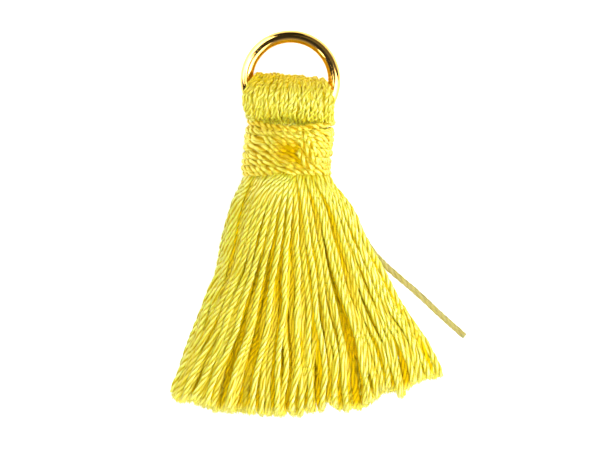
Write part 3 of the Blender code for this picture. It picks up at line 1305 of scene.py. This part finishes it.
class Pass(NamedTuple):
    """One pass of the winding, up or down the neck."""

    top: float  # height of its first turn, from the middle of the neck
    foot: float  # height of its last turn
    turns: int
    inset: float  # how much deeper it lies than the winding's outside


class Crossing(NamedTuple):
    """A short length of yarn that crosses the winding at the front."""

    start_x: float  # how far right of the neck's middle it comes out
    start: float  # height where it comes out
    end: float  # height where it goes in again


@dataclass
class Binding:
    """The yarn wound round the neck, in passes that cross over each other."""

    yarn: SpunFibre
    yarn_diameter: float = 0.55 * MM
    half_width: float = 3.38 * MM  # to the outermost yarn's middle
    half_depth: float = 3.08 * MM
    axis_height: float = 3.3 * MM
    lean: float = 0.11
    slant: float = 0.03
    passes: tuple[Pass, ...] = (
        Pass(2.58 * MM, 2.46 * MM, 1, 0.10 * MM),
        Pass(2.20 * MM, -1.72 * MM, 9, 0.12 * MM),
        Pass(-1.66 * MM, 1.90 * MM, 7, 0.00 * MM),
    )
    start_angle: float = 250.0  # degrees, at the back
    crossings: tuple[Crossing, ...] = (
        Crossing(0.85 * MM, 1.80 * MM, -0.35 * MM),
        Crossing(0.85 * MM, 1.10 * MM, -1.00 * MM),
        Crossing(0.70 * MM, 0.25 * MM, -1.50 * MM),
    )
    crossing_slope: float = 0.8  # distance to the right for each unit down, at its end
    crossing_bend: float = 0.25  # share of that slope which is missing at its start
    crossing_rise: float = 0.20 * MM  # of a crossing length over the winding
    crossing_dive: float = 0.75 * MM  # how far its ends go down from there
    crossing_hold: int = 6  # more keeps it level for longer before it dives
    crossing_steps: int = 16
    patch_size: float = 1.3 * MM  # of the random patches painted in shade, as if the winding lay slack and deeper there
    # how much painted shade those slack patches get
    patchiness: float = 0.9
    cover_depth: float = 0.60 * MM  # how far under its neighbours the yarn is fully shaded
    sag: float = 0.60 * MM  # how far the head presses the top turns down, at front and back
    unevenness: float = 0.15 * MM
    unevenness_out: float = 0.35  # in and out, against up and down
    knots_per_turn: int = 3  # at which the unevenness is drawn
    dent: tuple[float, float] = (0.15 * MM, 0.05 * MM)  # where the winding is pressed flat
    dent_reach: tuple[float, float] = (1.15 * MM, 1.05 * MM)
    dent_slope: float = 0.25
    dent_depth: float = 0.16 * MM
    # painted shade over the pressed patch, which catches no shine
    dent_shade: float = 0.9
    rest_height: float = 0.30 * MM  # of the lowest turns' middles, over the surface
    points_per_turn: int = 40
    seed: int = 21

    def build(self) -> Pieces:
        """Winds the neck and dresses the winding.

        Returns:
            The winding.
        """
        dice = random.Random(self.seed)
        line, recesses = [], []
        for each in self.passes:
            turns = self._wind(each, dice)
            # Passes that lie deeper, the flat patch and the slack patches are painted in shade.
            deep = each.inset / self.cover_depth
            line += turns
            recesses += [min(deep + self._shaded(place), 1.0) for place in turns]
        lengths = [self._crossing(each) for each in self.crossings]
        spinner = YarnSpinner(
            self.yarn_diameter,
            pitch=1.4 * MM,
            waver=0.06 * MM,
            unevenness=2.2,
            groove_tint=0.95,
            seed=9,
        )
        piece = spinner.spin(
            "neck_winding",
            [line, *lengths],
            self.yarn.material(),
            [recesses, *([0.0] * len(length) for length in lengths)],
        )
        return [settle(piece, "neck_binding")]

    def _shaded(self, place: Vector) -> float:
        """Says how much painted shade a place gets for lying in the flat patch or in a slack patch."""
        slack = max(noise.noise(place / self.patch_size), 0.0) * self.patchiness
        return self.dent_shade * self._pressed(place) + slack

    def _crossing(self, each: Crossing) -> Line:
        """Lays a short length of yarn that crosses the winding at the front.

        Args:
            each: Where it comes out and goes in.

        Returns:
            The guide line, both of whose ends are buried.
        """
        line = []
        for step in range(self.crossing_steps + 1):
            share = step / self.crossing_steps
            down = each.start + (each.end - each.start) * share
            slope = self.crossing_slope * (1 - self.crossing_bend * (1 - share))
            x = each.start_x + (each.start - down) * slope
            round_neck = math.sqrt(max(1 - (x / self.half_width) ** 2, 0.1))
            over = self.crossing_rise - self.crossing_dive * (2 * share - 1) ** self.crossing_hold
            z = self.axis_height + (self.half_depth + over) * round_neck
            line.append(Vector((x + self.lean * down, down, z)))
        return line

    def _pressed(self, place: Vector) -> float:
        """Says how far a place lies in the flat patch at the front.

        Args:
            place: The place.

        Returns:
            0 outside the patch, up to 1 at its middle.
        """
        if place.z < self.axis_height:
            return 0.0
        right, up = place.x - self.dent[0], place.y - self.dent[1]
        across = right / self.dent_reach[0]
        down = (up + self.dent_slope * right) / self.dent_reach[1]
        return math.exp(-(across**4) - down**4)

    def _wind(self, each: Pass, dice: random.Random) -> Line:
        """Lays the guide line of one pass.

        Args:
            each: The pass.
            dice: Where its unevenness comes from.

        Returns:
            The guide line, which starts and ends at the back.
        """
        out = self.unevenness_out
        knots = [
            Vector((dice.uniform(-1, 1), dice.uniform(-out, out), 0))
            for _ in range(each.turns * self.knots_per_turn + 1)
        ]
        strays = smooth_path(knots, each.turns * self.points_per_turn + 1)
        line = []
        for index, stray in enumerate(strays):
            share = index / (len(strays) - 1)
            turn = math.tau * each.turns * share + math.radians(self.start_angle)
            down = each.top + (each.foot - each.top) * share + stray.x * self.unevenness
            down -= self.sag * max(down / self.passes[0].top, 0.0) ** 2 * math.sin(turn) ** 2
            stand = stray.y * self.unevenness - each.inset
            x = (self.half_width + stand) * math.cos(turn)
            z = self.axis_height + (self.half_depth + stand) * math.sin(turn)
            place = Vector((x + self.lean * down, down - self.slant * x, z))
            place.z = max(z - self.dent_depth * self._pressed(place), self.rest_height)
            line.append(place)
        return line


@dataclass
class LooseEnd:
    """The end of waxed thread that comes out from under the binding."""

    thread: SpunFibre
    diameter: float = 0.54 * MM
    route: tuple[tuple[float, float, float], ...] = (
        # places on its middle line, in millimetres
        (2.85, -1.75, 2.00),
        (3.18, -2.36, 1.75),
        (3.62, -2.90, 1.15),
        (4.40, -3.72, 0.62),
        (5.30, -5.00, 0.34),
        (6.08, -6.72, 0.29),
        (6.90, -8.00, 0.285),
        (8.00, -9.15, 0.285),
        (9.16, -10.16, 0.285),
        (10.64, -11.44, 0.285),
        (12.00, -12.72, 0.285),
        (13.40, -14.00, 0.285),
        (14.22, -14.70, 0.285),
    )
    points: int = 60

    def build(self) -> Pieces:
        """Lays the thread and dresses it.

        Returns:
            The thread.
        """
        line = smooth_path([Vector(place) * MM for place in self.route], self.points)
        spinner = YarnSpinner(
            self.diameter,
            plies=3,
            sides=10,
            steps_per_turn=14,
            lay=0.34,
            ply_size=0.66,
            waver=0.02 * MM,
            seed=13,
        )
        piece = spinner.spin("thread_loose_end", [line], self.thread.material())
        return [settle(piece, "thread_tail")]


class Job(Enum):
    """What a soft box is for."""

    LIGHT = "lights the tassel, and no shine mirrors it"
    YARN_SHINE = "only shows in the shine of the yarn"
    RING_SHINE = "only shows in the polished ring"


class SoftBox(NamedTuple):
    """A soft box, aimed at the tassel."""

    name: str
    bearing: float  # degrees
    elevation: float  # degrees
    width: float  # metres
    height: float
    power: float  # watts
    job: Job


@dataclass
class Studio:
    """The paper, lights and camera."""

    paper: CoatedPaper
    paper_size: float = 1.2
    subject_height: float = 3.3 * MM
    field_width: float = 48.0 * MM
    aim: tuple[float, float] = (0.96 * MM, -5.76 * MM)
    camera_distance: float = 0.45
    sensor_width: float = 36.0  # millimetres, as is a lens's focal length
    clip: tuple[float, float] = (0.01, 10.0)
    light_distance: float = 0.40
    room_light: float = 0.03
    window_light: float = 0.5  # from the wall on the skirt's side
    window_edges: tuple[float, float] = (-0.9, -0.2)  # where it is full, and where it has faded out
    soft_boxes: tuple[SoftBox, ...] = (
        SoftBox("panel_left", 152, 40, 0.26, 0.42, 1.2, Job.YARN_SHINE),
        SoftBox("panel_right", 346, 40, 0.26, 0.36, 2.1, Job.YARN_SHINE),
        SoftBox("ring_panel_left", 145, 24, 0.46, 0.34, 3.0, Job.RING_SHINE),
        SoftBox("ring_panel_right", 340, 35, 0.34, 0.46, 3.2, Job.RING_SHINE),
        SoftBox("ring_strip_left", 218, 24, 0.07, 0.40, 0.65, Job.RING_SHINE),
        SoftBox("ring_crest_left", 155, 60, 0.07, 0.26, 0.60, Job.RING_SHINE),
        SoftBox("ring_crest_right", 354, 60, 0.07, 0.24, 0.50, Job.RING_SHINE),
        SoftBox("ring_glow_low", 45, 10, 0.45, 0.14, 0.11, Job.RING_SHINE),
        SoftBox("ring_glow_high", 42, 50, 0.30, 0.30, 0.04, Job.RING_SHINE),
        SoftBox("soft_box_right", 355, 40, 0.26, 0.26, 0.85, Job.LIGHT),
        SoftBox("soft_box_top", 90, 35, 0.26, 0.26, 0.3, Job.LIGHT),
        SoftBox("soft_box_low", 270, 35, 0.26, 0.26, 0.45, Job.LIGHT),
        SoftBox("overhead_fill", 350, 88, 0.12, 0.12, 1.66, Job.LIGHT),
    )

    def build(self, shining: dict[Job, Pieces]) -> None:
        """Sets up everything round the tassel.

        Args:
            shining: The pieces that the soft boxes of each such job reach.
        """
        self._lay_paper()
        self._hang_soft_boxes(shining)
        self._light_room()
        self._place_camera()

    def _lay_paper(self) -> None:
        """Lays a broad sheet of paper under the tassel."""
        shape = bmesh.new()
        bmesh.ops.create_grid(shape, x_segments=1, y_segments=1, size=self.paper_size / 2)
        sheet = link_object("paper", make_mesh("paper", shape, self.paper.material()))

    def _hang_soft_boxes(self, shining: dict[Job, Pieces]) -> None:
        """Hangs the soft boxes round the tassel.

        Args:
            shining: The pieces that the soft boxes of each such job reach.
        """
        receivers = {job: bpy.data.collections.new(job.name) for job in shining}
        for job, pieces in shining.items():
            for piece in pieces:
                receivers[job].objects.link(piece)
        for box in self.soft_boxes:
            bearing, rise = math.radians(box.bearing), math.radians(box.elevation)
            level = Vector((math.cos(bearing), math.sin(bearing), 0)) * math.cos(rise)
            place = level + Vector((0, 0, math.sin(rise)))
            lamp = bpy.data.lights.new(box.name, "AREA")
            lamp.shape = "RECTANGLE"
            lamp.size, lamp.size_y = box.width, box.height
            lamp.energy = box.power
            holder = link_object(box.name, lamp)
            holder.location = Vector((*self.aim, 0.0)) + place * self.light_distance
            holder.rotation_euler = (-place).to_track_quat("-Z", "Y").to_euler()
            holder.visible_glossy = box.job is not Job.LIGHT
            holder.visible_diffuse = box.job is Job.LIGHT
            if box.job in receivers:
                holder.light_linking.receiver_collection = receivers[box.job]

    def _light_room(self) -> None:
        """Lights a dark room that has one bright wall."""
        world = bpy.data.worlds.new("studio")
        world.use_nodes = True
        tree = world.node_tree
        heading = add_node(tree, "ShaderNodeTexCoord").outputs["Generated"]
        brightness = {
            "Value": add_node(tree, "ShaderNodeSeparateXYZ", (heading,)).outputs["Y"],
            "From Min": self.window_edges[0],
            "From Max": self.window_edges[1],
            "To Min": self.window_light,
            "To Max": self.room_light,
        }
        strength = add_node(tree, "ShaderNodeMapRange", brightness, interpolation_type="SMOOTHSTEP")
        connect(tree.nodes["Background"], {"Color": linear("#ffffff"), "Strength": strength})
        bpy.context.scene.world = world

    def _place_camera(self) -> None:
        """Hangs the camera straight above, with the ring towards the top of its frame."""
        lens = bpy.data.cameras.new("camera")
        lens.sensor_width = self.sensor_width
        lens.lens = self.sensor_width * self.camera_distance / self.field_width
        lens.clip_start, lens.clip_end = self.clip
        holder = link_object("camera", lens)
        holder.location = (*self.aim, self.subject_height + self.camera_distance)
        scene = bpy.context.scene
        scene.camera = holder
        scene.view_settings.view_transform = "Standard"


def main() -> None:
    """Dresses the tassel and sets it in the studio."""
    logging.basicConfig(level=logging.INFO, format="%(name)s: %(message)s")
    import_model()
    # Bright, loosely twisted rayon: it gleams along its fibres, and its depths are painted in amber
    # shade.
    yarn = SpunFibre(
        name="spun_rayon_yarn",
        slot="yarn",
        crest="#e8ea50",
        depth="#dcd930",
        recess="#eec606",
        groove="#c4a90e",
        loose_end="#f2e860",
    )
    # The same yarn pulled tight over the neck, with a warmer shine. Its crests are painted brighter, and
    # its recesses and grooves in deeper shade, for how the winding catches the light.
    winding_yarn = replace(
        yarn,
        name="wound_rayon_yarn",
        slot="binding_thread",
        crest="#f8f04c",
        depth="#eedc2c",
        recess="#deb800",
        groove="#d0a80a",
        loose_end="#f4e878",
        tinted_shine=0.4,
    )
    # Waxed polyester thread: the wax evens out its surface and dulls its shine.
    waxed_thread = SpunFibre(
        name="waxed_polyester_thread",
        slot="loose_thread",
        crest="#beb865",
        depth="#a69652",
        recess="#84743c",
        groove="#84743c",
        loose_end="#9c9c54",
        roughness=0.5,
        ior=1.54,
        lustre=0.5,
        tinted_shine=0.0,
        brushing=0.3,
        sheen=0.0,
        glow_depth=0.1 * MM,
        filaments=10,
        streak_length=0.8 * MM,
        relief=0.006 * MM,
    )
    ring = JumpRing(GoldPlate()).build()
    yarns = Head(yarn).build()
    yarns += Binding(winding_yarn).build()
    yarns += Skirt(yarn).build()
    yarns += LooseEnd(waxed_thread).build()
    Studio(CoatedPaper()).build({Job.YARN_SHINE: yarns, Job.RING_SHINE: ring})


if __name__ == "__main__":
    main()
